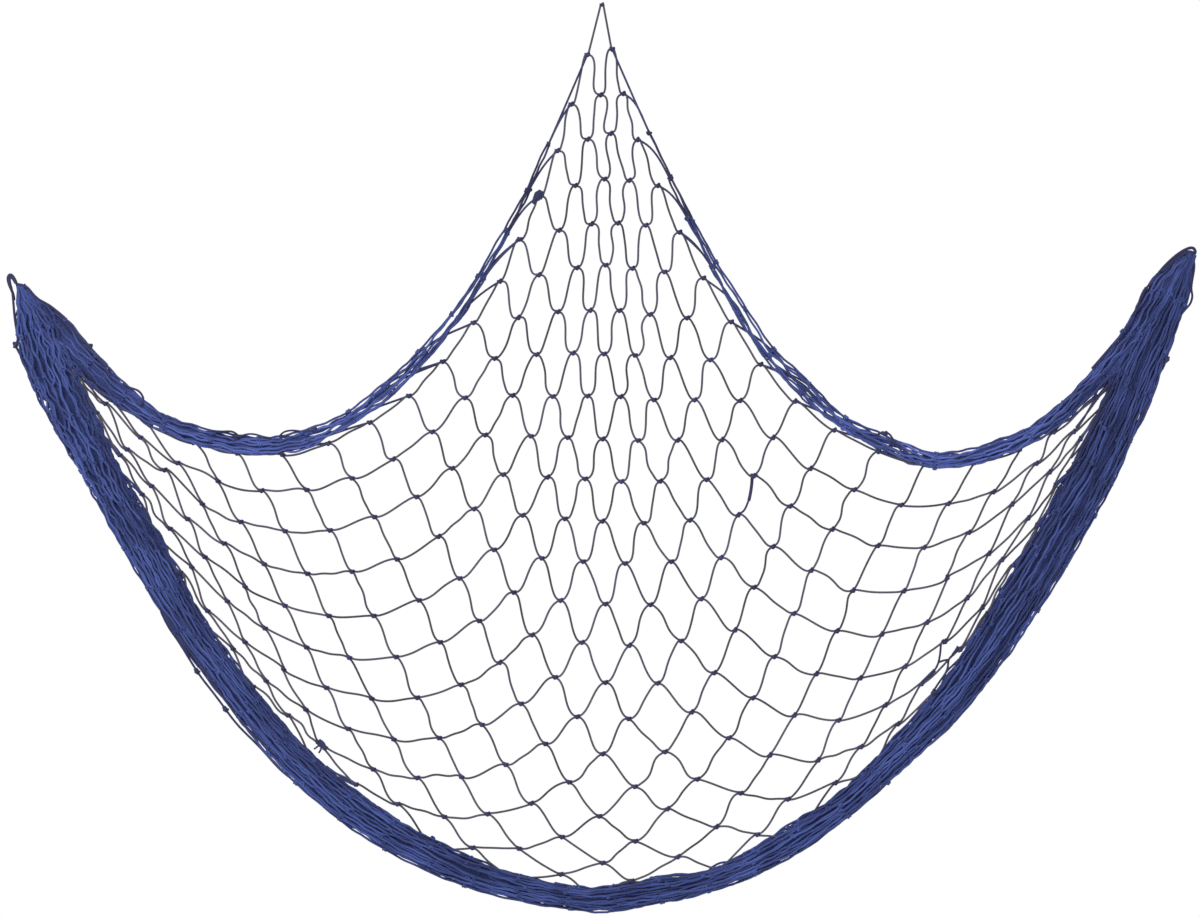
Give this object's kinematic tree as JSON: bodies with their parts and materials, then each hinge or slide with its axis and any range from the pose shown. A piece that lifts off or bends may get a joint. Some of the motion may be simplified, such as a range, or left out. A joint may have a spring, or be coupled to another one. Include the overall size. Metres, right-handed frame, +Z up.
{
  "type": "decorative fishing net",
  "caption": "Knotted twine net of open diamond meshes, hung in a swag from a peak and two gathered corners, with a thick bunched lower edge; drapes on a wall or ceiling as decoration.",
  "frame": {"origin": "the knot at the peak, where one mesh in the middle of the net's top edge hangs on its point", "axes": "+Z up, +X to the right along the net's width as seen from the room, -Y towards the room"},
  "size_m": [1.2553, 0.0268, 0.9661],
  "materials": {
    "twine": "matt twisted twine, royal blue"
  },
  "bodies": {
    "root": {"net": "twine"}
  },
  "joints": []
}
